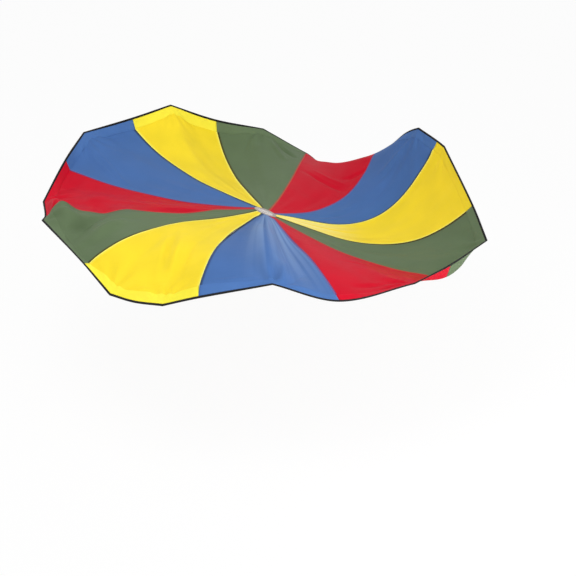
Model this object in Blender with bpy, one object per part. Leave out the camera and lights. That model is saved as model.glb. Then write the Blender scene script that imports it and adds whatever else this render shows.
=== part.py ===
# Play parachute: twelve nylon gores felled together round a mesh vent, with a turned hem, a hem rope and
# a black edge tape. It is modelled as it hangs from the hands that hold it, at the centre of their ring.
import math
from functools import cache

import bmesh
import bpy
from mathutils import Vector

# Driving dimensions, in metres
CANOPY_DIAMETER = 3.66
VENT_DIAMETER = 0.16
CLOTH_THICKNESS = 0.0008
TAPE_THICKNESS = 0.001
LAYER_GAP = 0.0003
BUTT_GAP = 0.0004
SEAM_WIDTH = 0.016
HEM_WIDTH = 0.075
EDGE_TAPE_FLANGE = 0.008
ROPE_DIAMETER = 0.0055
VENT_TAPE_INNER_WIDTH = 0.016
VENT_TAPE_OUTER_WIDTH = 0.010
NET_PITCH = 0.0135
NET_STRAND_WIDTH = 0.0024
NET_THICKNESS = 0.0006
VENT_HANG = 0.15
HEM_CURL_DROP = 0.07
CREASE_BROAD = 0.095
CREASE_MIDDLE = 0.060

CANOPY_RADIUS = CANOPY_DIAMETER / 2
VENT_RADIUS = VENT_DIAMETER / 2
ROPE_RADIUS = ROPE_DIAMETER / 2

# Counts
GORES = 12
FULL_TURN = 360.0
SEAM_SAMPLES = 120
ROPE_SIDES = 6

# The pose. Turns run clockwise from the front left seam, one to a gore. Reach and height are shares of the
# canopy's radius, heights from the vent. Each seam: its azimuth in degrees at the vent and at the hem, its
# reach, its height, the heights that its curve leans on near and far, and the last rise of its hem.
SEAM_SHARES = (
    (250.0, 256.5, 0.955, 0.070, 0.035, 0.185, -0.020),
    (224.5, 226.3, 0.957, 0.047, 0.042, 0.187, 0.027),
    (195.5, 194.3, 0.895, 0.071, 0.030, 0.105, 0.000),
    (164.5, 162.3, 0.920, 0.092, -0.010, 0.015, 0.038),
    (132.5, 131.0, 0.955, 0.143, 0.010, -0.012, 0.030),
    (107.0, 105.0, 0.970, 0.061, -0.015, -0.105, 0.034),
    (74.5, 79.0, 0.940, -0.070, -0.045, -0.008, 0.000),
    (37.5, 55.5, 0.885, 0.036, -0.102, -0.155, 0.000),
    (24.0, 27.5, 0.835, 0.175, -0.098, -0.298, 0.000),
    (350.0, 351.3, 0.845, 0.080, -0.100, -0.225, 0.000),
    (317.0, 318.7, 0.950, -0.003, -0.065, -0.095, 0.042),
    (286.0, 286.9, 0.942, 0.028, 0.048, 0.085, 0.000),
)
# Where the hem is held or hangs between: turn, azimuth, reach, height, and 1 where a hand draws a corner
HOLD_SHARES = (
    (0.30, 249.0, 0.970, 0.013, 1),
    (0.50, 243.0, 0.990, 0.015, 0),
    (0.72, 236.8, 0.990, 0.018, 1),
    (1.92, 197.5, 0.912, 0.076, 1),
    (2.35, 184.0, 0.903, 0.071, 1),
    (3.45, 147.0, 0.970, 0.165, 1),
    (4.45, 118.0, 0.965, 0.190, 1),
    (5.50, 91.5, 0.970, 0.035, 1),
    (6.25, 74.5, 0.920, -0.087, 0),
    (6.60, 66.0, 0.895, -0.050, 0),
    (7.35, 46.0, 0.862, 0.137, 0),
    (7.56, 41.0, 0.858, 0.167, 0),
    (7.65, 38.0, 0.852, 0.187, 1),
    (8.10, 23.5, 0.835, 0.168, 1),
    (9.55, 335.2, 0.945, 0.042, 1),
    (10.42, 305.5, 0.945, 0.034, 1),
    (11.47, 272.5, 0.885, 0.085, 1),
)
# The vent leans: its fall for each metre to the right and to the back
VENT_FALL_SHARES = (-0.42, -0.16)
# How the azimuth of a seam changes at the two points that its curve leans on
LEAN_SHARES = (0.2, 0.6)
# How fast a pull at the hem fades inwards
PULL_FADE = 3.0
# The hem stands up or hangs most midway between two hands, leaning in, and lies flat at each hand
HEM_LEAN_SHARE = 0.5
CALM_TURNS = 0.2
# At the back the hem rolls down behind a crest: the turns where that starts, is full, eases and ends
CURL_TURNS = (6.0, 6.5, 7.2, 7.6)
CURL_START_SHARE = 0.91
# The main folds: a start and an end as turn and share of the way out, half width, and height as a share of it
FOLD_SHARES = (
    (2.35, 1.00, 1.65, 0.89, CREASE_BROAD, 1.05),
    (2.35, 0.80, 1.75, 0.70, CREASE_BROAD, -0.30),
    (2.02, 0.20, 2.02, 0.62, CREASE_BROAD, -0.40),
    (1.65, 0.80, 1.40, 0.98, CREASE_MIDDLE, -0.35),
    (3.42, 0.97, 3.20, 0.60, CREASE_MIDDLE, 0.35),
    (5.62, 0.98, 5.93, 0.66, CREASE_MIDDLE, -0.35),
    (6.05, 0.66, 6.97, 0.62, CREASE_MIDDLE, -0.40),
    (7.60, 1.00, 8.00, 0.78, CREASE_MIDDLE, 0.25),
    (9.22, 0.935, 10.02, 0.930, CREASE_BROAD, -0.40),
    (9.70, 0.925, 10.25, 0.925, CREASE_BROAD, -0.25),
    (11.54, 0.04, 11.47, 0.98, CREASE_BROAD, 0.75),
    (11.16, 0.10, 11.20, 0.95, CREASE_BROAD, -0.75),
    (0.95, 0.46, 0.33, 0.90, CREASE_MIDDLE, 0.35),
    (0.85, 0.60, 0.40, 0.92, CREASE_MIDDLE, -0.30),
    (9.55, 1.00, 9.42, 0.60, CREASE_MIDDLE, 0.35),
)
# Where the mesh has its rows from vent to hem, and its columns across a gore
ROW_SHARES = (0.0, 0.09, 0.18, 0.28, 0.38, 0.48, 0.58, 0.68, 0.77, 0.85, 0.92)
COLUMN_SHARES = (1 / 6, 2 / 6, 3 / 6, 4 / 6, 5 / 6)

# Finishes: red, green, blue, roughness
FINISHES = {
    "yellow_nylon": (0.91, 0.70, 0.03, 0.45),
    "green_nylon": (0.13, 0.20, 0.12, 0.45),
    "red_nylon": (0.56, 0.02, 0.04, 0.45),
    "blue_nylon": (0.07, 0.14, 0.36, 0.45),
    "edge_tape": (0.012, 0.012, 0.014, 0.70),
    "vent_tape": (0.55, 0.57, 0.60, 0.65),
    "vent_net": (0.50, 0.52, 0.56, 0.60),
    "hem_rope": (0.80, 0.78, 0.72, 0.80),
}
# Colours of the gores in order, clockwise from the front left seam
COLOUR_ORDER = ("yellow", "green", "red", "blue")


def clear_scene():
    for thing in list(bpy.data.objects):
        bpy.data.objects.remove(thing)


def place(azimuth, reach, height):
    """A point of the pose from shares of the canopy's radius."""
    a = math.radians(azimuth)
    return Vector((reach * math.cos(a), reach * math.sin(a), height)) * CANOPY_RADIUS


def vent_plane():
    """Two directions in the leaning plane of the vent, and its normal."""
    fall_x, fall_y = VENT_FALL_SHARES
    along = Vector((1, 0, fall_x)).normalized()
    normal = Vector((-fall_x, -fall_y, 1)).normalized()
    return along, normal.cross(along), normal


def vent_point(azimuth, radius):
    a = math.radians(azimuth)
    fall_x, fall_y = VENT_FALL_SHARES
    across = Vector((math.cos(a), math.sin(a), fall_x * math.cos(a) + fall_y * math.sin(a)))
    return across.normalized() * radius


def seam_curve(row):
    """One seam from vent to hem, as points evenly spaced along its length."""
    near_azimuth, hem_azimuth, reach, height, near, far = row[:6]
    first = VENT_RADIUS / CANOPY_RADIUS
    swing = hem_azimuth - near_azimuth
    lean_near, lean_far = LEAN_SHARES
    start = vent_point(near_azimuth, VENT_RADIUS)
    end = place(hem_azimuth, reach, height)
    one = place(near_azimuth + swing * lean_near, first + (reach - first) / 3, near)
    two = place(near_azimuth + swing * lean_far, first + (reach - first) * 2 / 3, far)
    points, lengths = [start], [0.0]
    for i in range(1, SEAM_SAMPLES + 1):
        t = i / SEAM_SAMPLES
        u = 1 - t
        point = start * u**3 + one * 3 * t * u * u + two * 3 * t * t * u + end * t**3
        lengths.append(lengths[-1] + (point - points[-1]).length)
        points.append(point)
    even, k = [], 0
    for i in range(SEAM_SAMPLES + 1):
        want = lengths[-1] * i / SEAM_SAMPLES
        while k < SEAM_SAMPLES - 1 and lengths[k + 1] < want:
            k += 1
        even.append(points[k].lerp(points[k + 1], (want - lengths[k]) / (lengths[k + 1] - lengths[k])))
    return even


def hem_knots():
    """The hem's known points in order of turn: turn, place, and whether a hand draws a corner."""
    knots = []
    for i, (_, azimuth, reach, height, _, _, rise) in enumerate(SEAM_SHARES):
        knots.append((float(i), place(azimuth, reach - HEM_LEAN_SHARE * abs(rise), height + rise), 0))
    knots += [(turn, place(azimuth, reach, height), held) for turn, azimuth, reach, height, held in HOLD_SHARES]
    return sorted(knots, key=lambda knot: knot[0])


SEAMS = [seam_curve(row) for row in SEAM_SHARES]
KNOTS = hem_knots()


def through(before, here, there, after, t):
    """A smooth curve through four values, between the middle two."""
    return (
        here * 2
        + (there - before) * t
        + (before * 2 - here * 5 + there * 4 - after) * t * t
        + (here * 3 - before - there * 3 + after) * t**3
    ) * 0.5


def on_seam(seam, out):
    """A point of a seam at a share of the way out, carried on past its ends."""
    k = min(max(int(out * SEAM_SAMPLES), 0), SEAM_SAMPLES - 1)
    line = SEAMS[seam % GORES]
    return line[k].lerp(line[k + 1], out * SEAM_SAMPLES - k)


def between_seams(turn, out):
    """The smooth cloth that the seams carry."""
    i = math.floor(turn)
    return through(*(on_seam(i + n, out) for n in (-1, 0, 1, 2)), turn - i)


def hem_point(turn):
    """The hem's line: straight from hand to hand, rounded where it hangs free."""
    turn %= GORES
    count = len(KNOTS)
    k = max(i for i in range(count) if KNOTS[i][0] <= turn)
    (ta, a, a_held), (tb, b, b_held) = KNOTS[k], KNOTS[(k + 1) % count]
    (tz, z, _), (tc, c, _) = KNOTS[k - 1], KNOTS[(k + 2) % count]
    tb += GORES * (k + 1 >= count)
    tc += GORES * (k + 2 >= count)
    tz -= GORES * (k == 0)
    chord = (b - a) / (tb - ta)
    leave = chord if a_held else (b - z) / (tb - tz)
    arrive = chord if b_held else (c - a) / (tc - ta)
    t, span = (turn - ta) / (tb - ta), tb - ta
    return (
        a * (2 * t**3 - 3 * t * t + 1)
        + leave * span * (t**3 - 2 * t * t + t)
        + b * (3 * t * t - 2 * t**3)
        + arrive * span * (t**3 - t * t)
    )


def eased(t):
    t = min(max(t, 0.0), 1.0)
    return t * t * (3 - 2 * t)


def run_share(length):
    """A length along a seam as a share of the way from vent to hem."""
    return length / (CANOPY_RADIUS - VENT_RADIUS)


def hem_rise(turn):
    """How the hem stands up or hangs from its inner edge to the rope, and leans in."""
    i = math.floor(turn)
    here, there = SEAM_SHARES[i % GORES][6], SEAM_SHARES[(i + 1) % GORES][6]
    rise = here + (there - here) * eased(turn - i)
    for hold, *_, held in HOLD_SHARES:
        if held:
            off = (turn - hold + GORES / 2) % GORES - GORES / 2
            rise *= 1 - math.exp(-((off / CALM_TURNS) ** 2))
    rim = between_seams(turn, 1.0)
    lean = HEM_LEAN_SHARE * abs(rise) / math.hypot(rim.x, rim.y)
    return Vector((-rim.x * lean, -rim.y * lean, rise)) * CANOPY_RADIUS


def curl(turn, out):
    """How far the hem has rolled down behind the crest at the back."""
    begin, full, ease, end = CURL_TURNS
    turn %= GORES
    part = eased((turn - begin) / (full - begin)) * eased((end - turn) / (end - ease))
    way = max(0.0, (out - CURL_START_SHARE) / (1 - CURL_START_SHARE))
    return HEM_CURL_DROP * part * way * way


def flat_point(turn, out):
    """Where a point of the cloth lies on the cutting table."""
    radius = VENT_RADIUS + (CANOPY_RADIUS - VENT_RADIUS) * out
    angle = math.radians(turn * FULL_TURN / GORES)
    return Vector((math.cos(angle), math.sin(angle))) * radius


def folds(turn, out):
    """The height that the main folds add. They stop at the hem, which its rope keeps straight."""
    here, height = flat_point(turn, out), 0.0
    for turn_a, out_a, turn_b, out_b, width, share in FOLD_SHARES:
        a, b = flat_point(turn_a, out_a), flat_point(turn_b, out_b)
        run = b - a
        along = (here - a).dot(run) / run.length_squared
        if 0 < along < 1:
            off = (here - a - run * along).length / width
            height += width * share * math.sin(math.pi * along) * math.exp(-off * off)
    return height * eased((1 - out) / run_share(HEM_WIDTH))


def cloth(turn, out):
    """A point on the middle of the cloth, from the centre of the ring of hands."""
    rise = hem_rise(turn)
    pull = hem_point(turn) - between_seams(turn, 1.0) - rise
    band = max(0.0, 1 - (1 - out) / run_share(HEM_WIDTH))
    point = between_seams(turn, out) + pull * max(out, 0.0) ** PULL_FADE + rise * band
    lift = folds(turn, out) - curl(turn, out) - VENT_HANG
    return point + Vector((0, 0, lift))


SMALL_TURN_SHARE = 0.01
SMALL_OUT_SHARE = 0.004


@cache
def frame_at(turn, out):
    """The point, the direction out towards the hem, and the upper side's normal."""
    inner = max(out - SMALL_OUT_SHARE, 0.0)
    outer = min(out + SMALL_OUT_SHARE, 1.0)
    outward = (cloth(turn, outer) - cloth(turn, inner)).normalized()
    onward = cloth(turn + SMALL_TURN_SHARE, out) - cloth(turn - SMALL_TURN_SHARE, out)
    normal = onward.cross(outward).normalized()
    return cloth(turn, out), outward, normal


def gore_span(out):
    """The width of a gore as it is cut."""
    return (VENT_RADIUS + (CANOPY_RADIUS - VENT_RADIUS) * out) * 2 * math.pi / GORES


HEM_START = 1 - run_share(HEM_WIDTH)
EDGE_START = 1 - run_share(EDGE_TAPE_FLANGE)
TAPED = run_share(VENT_TAPE_OUTER_WIDTH)


def columns(gore):
    """The turns of a gore's inner columns, with the nearest moved to each held point."""
    shares = list(COLUMN_SHARES)
    for turn, *_ in HOLD_SHARES:
        if gore < turn < gore + 1:
            nearest = min(range(len(shares)), key=lambda k: abs(shares[k] - (turn - gore)))
            shares[nearest] = turn - gore
    return [gore + share for share in shares]


def rows():
    """Every row from vent to hem, with the edges of the vent tape, the hem and the edge tape."""
    return sorted([*ROW_SHARES, TAPED, HEM_START, EDGE_START, 1.0])


def over(point, normal, height):
    return point + normal * height


def new_object(name, bm, finish):
    bmesh.ops.recalc_face_normals(bm, faces=bm.faces[:])
    mesh = bpy.data.meshes.new(name)
    bm.to_mesh(mesh)
    bm.free()
    mesh.materials.append(material(finish))
    thing = bpy.data.objects.new(name, mesh)
    bpy.context.collection.objects.link(thing)
    return thing


def material(finish):
    made = bpy.data.materials.get(finish)
    if made is None:
        *colour, roughness = FINISHES[finish]
        made = bpy.data.materials.new(finish)
        made.use_nodes = True
        shader = made.node_tree.nodes["Principled BSDF"]
        shader.inputs["Base Color"].default_value = (*colour, 1)
        shader.inputs["Roughness"].default_value = roughness
        shader.inputs["Metallic"].default_value = 0
    return made


def sheet(name, finish, outs, turns_at, low, high):
    """A closed piece of cloth between two heights over the canopy, on rows and columns of it."""
    bm = bmesh.new()
    upper, lower = [], []
    for out in outs:
        frames = [frame_at(turn, out) for turn in turns_at(out)]
        upper.append([bm.verts.new(over(point, normal, high)) for point, _, normal in frames])
        lower.append([bm.verts.new(over(point, normal, low)) for point, _, normal in frames])
    across, along = len(upper[0]), len(upper)
    for j in range(along - 1):
        for k in range(across - 1):
            for face in (upper, lower):
                corners = face[j][k], face[j][k + 1], face[j + 1][k + 1], face[j + 1][k]
                bm.faces.new((corners[0], corners[1], corners[2]))
                bm.faces.new((corners[0], corners[2], corners[3]))
    border = [(0, k) for k in range(across)] + [(j, across - 1) for j in range(1, along)]
    border += [(along - 1, k) for k in range(across - 2, -1, -1)] + [(j, 0) for j in range(along - 2, 0, -1)]
    for (j, k), (m, n) in zip(border, border[1:] + border[:1]):
        bm.faces.new((upper[j][k], upper[m][n], lower[m][n]))
        bm.faces.new((upper[j][k], lower[m][n], lower[j][k]))
    return new_object(name, bm, finish)


def ring(name, finish, sections, inwards):
    """A closed band from its cross-section at each station, its faces split like the cloth under them."""
    bm = bmesh.new()
    loops = [[bm.verts.new(point) for point in section] for section in sections]
    for loop, following in zip(loops, loops[1:] + loops[:1]):
        for k in range(len(loop)):
            n = (k + 1) % len(loop)
            if k in inwards:
                bm.faces.new((loop[k], loop[n], following[k]))
                bm.faces.new((loop[n], following[n], following[k]))
            else:
                bm.faces.new((loop[k], loop[n], following[n]))
                bm.faces.new((loop[k], following[n], following[k]))
    return new_object(name, bm, finish)


# Heights over the middle of the cloth
CLOTH_TOP = CLOTH_THICKNESS / 2
COVER_LOW = CLOTH_TOP + LAYER_GAP
COVER_HIGH = COVER_LOW + CLOTH_THICKNESS


def colour(gore):
    return COLOUR_ORDER[gore % len(COLOUR_ORDER)]


def gore_turns(gore):
    """The columns of a gore at a share of the way out: its edges, its seams' edges and the inner ones."""

    def at(out):
        edge, seam = BUTT_GAP / 2 / gore_span(out), SEAM_WIDTH / 2 / gore_span(out)
        return [gore + edge, gore + seam, *columns(gore), gore + 1 - seam, gore + 1 - edge]

    return at


def make_gores():
    for gore in range(GORES):
        name = f"gore_{gore + 1:02d}_{colour(gore)}"
        sheet(name, f"{colour(gore)}_nylon", rows(), gore_turns(gore), -CLOTH_TOP, CLOTH_TOP)


def make_seams():
    """Felled seams: the allowance of one gore turned over its neighbour's edge."""
    clear = run_share(BUTT_GAP)
    outs = [TAPED + clear] + [out for out in rows() if TAPED < out < HEM_START] + [HEM_START - clear]
    for seam in range(GORES):

        def at(out, seam=seam):
            half = SEAM_WIDTH / 2 / gore_span(out)
            return [seam - half, seam, seam + half]

        first, second = colour(seam - 1), colour(seam)
        finish = "yellow_nylon" if "yellow" in (first, second) else f"{second}_nylon"
        sheet(f"seam_{seam + 1:02d}_{first}_{second}", finish, outs, at, COVER_LOW, COVER_HIGH)


def make_hems():
    for gore in range(GORES):
        name = f"hem_{gore + 1:02d}_{colour(gore)}"
        outs = [HEM_START, EDGE_START, 1.0]
        sheet(name, f"{colour(gore)}_nylon", outs, gore_turns(gore), COVER_LOW, COVER_HIGH)


def stations():
    """The turns of every column round the canopy."""
    turns = []
    for gore in range(GORES):
        seam = SEAM_WIDTH / 2 / gore_span(1.0)
        turns += [gore, gore + seam, *columns(gore), gore + 1 - seam]
    return turns


def rope_circle(turn, radius, angles):
    """Points round the rope's middle, which lies just outside the cloth's edge."""
    point, outward, normal = frame_at(turn, 1.0)
    middle = point + outward * (ROPE_RADIUS + LAYER_GAP)
    return [middle + (outward * math.cos(a) + normal * math.sin(a)) * radius for a in angles]


def make_edge_tape():
    """The black tape, folded round the rope and down over both sides of the hem."""
    top, bottom = COVER_HIGH + LAYER_GAP, -CLOTH_TOP - LAYER_GAP
    slant = math.cos(math.pi / ROPE_SIDES)
    inner = ROPE_RADIUS + LAYER_GAP / slant
    outer = inner + TAPE_THICKNESS / slant
    half = ROPE_SIDES // 2
    angles = [2 * math.pi * k / ROPE_SIDES for k in range(half - 1, -half, -1)]
    sections = []
    for turn in stations():
        inland, _, inland_normal = frame_at(turn, EDGE_START)
        edge, _, edge_normal = frame_at(turn, 1.0)
        section = [over(inland, inland_normal, top), over(edge, edge_normal, top)]
        section += rope_circle(turn, inner, angles)
        section += [over(edge, edge_normal, bottom), over(inland, inland_normal, bottom)]
        section += [over(inland, inland_normal, bottom - TAPE_THICKNESS)]
        section += [over(edge, edge_normal, bottom - TAPE_THICKNESS)]
        section += rope_circle(turn, outer, reversed(angles))
        section += [over(edge, edge_normal, top + TAPE_THICKNESS)]
        section += [over(inland, inland_normal, top + TAPE_THICKNESS)]
        sections.append(section)
    turned = len(angles) + 2
    ring("edge_tape", "edge_tape", sections, (turned, len(sections[0]) - 2))


def make_rope():
    angles = [-2 * math.pi * k / ROPE_SIDES for k in range(ROPE_SIDES)]
    sections = [rope_circle(turn, ROPE_RADIUS, angles) for turn in stations()]
    ring("hem_rope", "hem_rope", sections, ())


def make_vent_tapes():
    """The two rings of tape that hold the net and the gores between them."""
    _, _, level = vent_plane()
    for name, low, high in (
        ("vent_tape_upper", COVER_LOW, COVER_LOW + TAPE_THICKNESS),
        ("vent_tape_under", -COVER_LOW - TAPE_THICKNESS, -COVER_LOW),
    ):
        sections = []
        for turn in stations():
            lip = cloth(turn, 0.0)
            centre = Vector((0, 0, -VENT_HANG))
            inside = centre + (lip - centre) * (1 - VENT_TAPE_INNER_WIDTH / VENT_RADIUS)
            waist, _, waist_normal = frame_at(turn, 0.0)
            outside, _, outside_normal = frame_at(turn, TAPED)
            sides = ((inside, level), (waist, waist_normal), (outside, outside_normal))
            upper = [over(point, normal, high) for point, normal in sides]
            lower = [over(point, normal, low) for point, normal in reversed(sides)]
            sections.append(upper + lower)
        ring(name, "vent_tape", sections, (3, 4))


def make_net():
    """The vent's net: strands both ways, ending under the tapes."""
    along, back, level = vent_plane()
    centre = Vector((0, 0, -VENT_HANG)) + level * (NET_THICKNESS / 2)
    reach = VENT_RADIUS - BUTT_GAP - NET_STRAND_WIDTH
    count = int(reach / NET_PITCH)
    half = NET_STRAND_WIDTH / 2
    crossings = [
        (i, j)
        for i in range(-count, count + 1)
        for j in range(-count, count + 1)
        if math.hypot(i, j) * NET_PITCH <= reach
    ]
    bm, corners = bmesh.new(), {}

    def corner(i, side_x, j, side_y):
        key = (i, side_x, j, side_y)
        if key not in corners:
            x, y = i * NET_PITCH + side_x * half, j * NET_PITCH + side_y * half
            corners[key] = bm.verts.new(centre + along * x + back * y)
        return corners[key]

    for i, j in crossings:
        bm.faces.new([corner(i, x, j, y) for x, y in ((-1, -1), (1, -1), (1, 1), (-1, 1))])
        if (i + 1, j) in crossings:
            near = corner(i, 1, j, -1), corner(i, 1, j, 1)
            far = corner(i + 1, -1, j, -1), corner(i + 1, -1, j, 1)
            bm.faces.new((near[0], far[0], far[1], near[1]))
        if (i, j + 1) in crossings:
            near = corner(i, -1, j, 1), corner(i, 1, j, 1)
            far = corner(i, -1, j + 1, -1), corner(i, 1, j + 1, -1)
            bm.faces.new((near[0], near[1], far[1], far[0]))
    grown = bmesh.ops.extrude_face_region(bm, geom=bm.faces[:], use_keep_orig=True)
    moved = [v for v in grown["geom"] if isinstance(v, bmesh.types.BMVert)]
    bmesh.ops.translate(bm, vec=-level * NET_THICKNESS, verts=moved)
    new_object("vent_net", bm, "vent_net")


clear_scene()
make_gores()
make_seams()
make_hems()
make_edge_tape()
make_rope()
make_vent_tapes()
make_net()
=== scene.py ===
# Play parachute, held up all round and sagging: the looks of the part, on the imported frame.
import math

import bmesh
import bpy
import numpy as np
from mathutils import Matrix, Vector


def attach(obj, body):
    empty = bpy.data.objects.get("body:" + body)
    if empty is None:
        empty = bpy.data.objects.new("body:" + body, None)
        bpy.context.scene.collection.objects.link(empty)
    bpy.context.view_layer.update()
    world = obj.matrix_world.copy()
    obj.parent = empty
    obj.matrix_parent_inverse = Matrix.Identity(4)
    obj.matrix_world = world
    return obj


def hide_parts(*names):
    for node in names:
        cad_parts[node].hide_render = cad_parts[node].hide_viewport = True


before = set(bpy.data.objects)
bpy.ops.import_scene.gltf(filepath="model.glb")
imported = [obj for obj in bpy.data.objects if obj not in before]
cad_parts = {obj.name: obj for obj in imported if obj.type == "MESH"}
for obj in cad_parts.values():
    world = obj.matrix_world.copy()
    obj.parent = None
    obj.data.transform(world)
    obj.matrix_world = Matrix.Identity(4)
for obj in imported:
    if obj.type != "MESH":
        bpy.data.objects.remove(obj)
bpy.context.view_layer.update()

# Camera. It stands ten metres from the vent and 22 degrees above it, with a long lens, so that the far
# gores are hardly smaller than the near ones. The vent falls on its own pixel of the photograph.
SENSOR_WIDTH = 36
SIGHT_LIMIT = 200
FRAME_PIXELS = 576
FOCAL_PIXELS = 1331.7
VENT_PIXEL = (265.5, 212.0)
VIEW_DISTANCE = 10.09
VIEW_ELEVATION = math.radians(22)
VENT_CENTRE = Vector((0, 0, -0.15))

aside = (VENT_PIXEL[0] - FRAME_PIXELS / 2) / FOCAL_PIXELS
above = (FRAME_PIXELS / 2 - VENT_PIXEL[1]) / FOCAL_PIXELS
pitch = VIEW_ELEVATION + math.atan(above)
sight = Vector((aside, math.cos(pitch) + above * math.sin(pitch), above * math.cos(pitch) - math.sin(pitch)))
bpy.ops.object.camera_add(
    location=VENT_CENTRE - sight.normalized() * VIEW_DISTANCE, rotation=(math.pi / 2 - pitch, 0, 0)
)
camera = bpy.context.object
camera.data.sensor_width = SENSOR_WIDTH
camera.data.lens = SENSOR_WIDTH * FOCAL_PIXELS / FRAME_PIXELS
camera.data.clip_end = SIGHT_LIMIT
bpy.context.scene.camera = camera
bpy.context.scene.view_settings.view_transform = "Standard"

# Floor and light. A plain white studio: a floor that shows white and keeps a faint shadow, an even white
# surround, one wide soft lamp overhead, a smaller one at the right and two weak ones low in front.
FLOOR_HEIGHT = -1.27
FLOOR_SIZE = 80
FLOOR_GLOW = 0.94
SURROUND_LIGHT = 0.54


class Wire:
    """A material's socket, to reckon with as with a number."""

    def __init__(self, tree, socket=None):
        self.tree, self.socket = tree, socket

    def node(self, kind, settings=None, values=None, out=0):
        made = self.tree.nodes.new(kind)
        for key, value in (settings or {}).items():
            setattr(made, key, value)
        for key, value in (values or {}).items():
            self.feed(made, key, value)
        return Wire(self.tree, made.outputs[out])

    def feed(self, node, key, value):
        if isinstance(value, Wire):
            self.tree.links.new(value.socket, node.inputs[key])
        else:
            node.inputs[key].default_value = value

    def maths(self, operation, *values):
        return self.node("ShaderNodeMath", {"operation": operation}, dict(enumerate(values)))

    def __add__(self, other):
        return self.maths("ADD", self, other)

    def __sub__(self, other):
        return self.maths("SUBTRACT", self, other)

    def __rsub__(self, other):
        return self.maths("SUBTRACT", other, self)

    def __mul__(self, other):
        return self.maths("MULTIPLY", self, other)

    def __truediv__(self, other):
        return self.maths("DIVIDE", self, other)

    __radd__, __rmul__ = __add__, __mul__

    def between(self, low, high):
        """Rises smoothly from 0 at one value to 1 at the other."""
        settings = {"interpolation_type": "SMOOTHSTEP"}
        return self.node("ShaderNodeMapRange", settings, {"Value": self, "From Min": low, "From Max": high})

    def wave(self, length):
        """Swings between -1 and 1 once in the given length."""
        return self.maths("SINE", self * (2 * math.pi / length))

    def mix(self, first, second):
        """Goes from the first colour to the second as this goes from 0 to 1."""
        return self.node("ShaderNodeMix", {"data_type": "RGBA"}, {"Factor": self, 6: first, 7: second}, 2)

    def noise(self, size, detail=2.0, kind="FBM"):
        """A cloudy pattern whose blots are about the given size in metres."""
        values = {"Vector": self, "Scale": 1 / size, "Detail": detail}
        return self.node("ShaderNodeTexNoise", {"noise_type": kind}, values)

    def bump(self, depth, strength=1.0, under=None):
        """A normal that shows this as relief, over the relief that lies under it."""
        values = {"Height": self, "Distance": depth, "Strength": strength}
        if under:
            values["Normal"] = under
        return self.node("ShaderNodeBump", None, values)


def new_finish(name):
    """A new material, what wires it and its shader."""
    made = bpy.data.materials.new(name)
    made.use_nodes = True
    return made, Wire(made.node_tree), made.node_tree.nodes["Principled BSDF"]


def linear(red, green, blue):
    """A colour from its values on a screen."""
    return (*((c / 12.92 if c <= 0.04045 else ((c + 0.055) / 1.055) ** 2.4) for c in (red, green, blue)), 1)


bpy.ops.mesh.primitive_plane_add(size=FLOOR_SIZE)
floor = bpy.context.object
floor.name = "floor"
floor.data.transform(Matrix.Translation((0, 0, FLOOR_HEIGHT)))
floor_white, wire, board = new_finish("floor_white")
board.inputs["Base Color"].default_value = linear(0.93, 0.93, 0.93)
board.inputs["Roughness"].default_value = 0.9
seen = wire.node("ShaderNodeLightPath")
glow = wire.node("ShaderNodeEmission", None, {"Color": (1, 1, 1, 1), "Strength": 1.0})
matte = Wire(wire.tree, board.outputs[0])
shown = wire.node("ShaderNodeMixShader", None, {0: seen * FLOOR_GLOW, 1: matte, 2: glow})
wire.feed(wire.tree.nodes["Material Output"], "Surface", shown)
floor.data.materials.append(floor_white)

world = bpy.data.worlds.new("studio")
bpy.context.scene.world = world
world.use_nodes = True
wire = Wire(world.node_tree)
path = world.node_tree.nodes.new("ShaderNodeLightPath")
direct = Wire(wire.tree, path.outputs["Is Camera Ray"])
mirrored = Wire(wire.tree, path.outputs["Is Glossy Ray"])
sent = Wire(wire.tree, path.outputs["Is Transmission Ray"])
looked_at = wire.maths("MINIMUM", direct + mirrored + sent, 1.0)
strength = SURROUND_LIGHT + looked_at * (1 - SURROUND_LIGHT)
wire.feed(world.node_tree.nodes["Background"], "Color", (1, 1, 1, 1))
wire.feed(world.node_tree.nodes["Background"], "Strength", strength)


def lamp(name, location, size, power):
    """A square lamp that faces the vent."""
    bpy.ops.object.light_add(type="AREA", location=location)
    made = bpy.context.object
    made.name = name
    made.data.shape = "SQUARE"
    made.data.size = size
    made.data.energy = power
    made.rotation_euler = (VENT_CENTRE - Vector(location)).to_track_quat("-Z", "Y").to_euler()


lamp("lamp_overhead", (-1.8, -2.2, 6.3), 4.0, 255)
lamp("lamp_side", (5.0, -3.0, 2.4), 2.5, 80)
lamp("lamp_front", (-1.0, -7.6, 2.4), 2.6, 35)
lamp("lamp_low", (3.0, -3.2, 0.3), 1.4, 62)

# Gores. Twelve wedges of thin plain nylon, cut flat and felled together side by side. The hem is held up
# all round, and the slack cloth sags between the hem and the vent and falls into folds.
CANOPY_RADIUS = 1.83
VENT_RADIUS = 0.080
GORES = 12
CLOTH_THICKNESS = 0.0006
BUTT_GAP = 0.0004
HEM_WIDTH = 0.075
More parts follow.
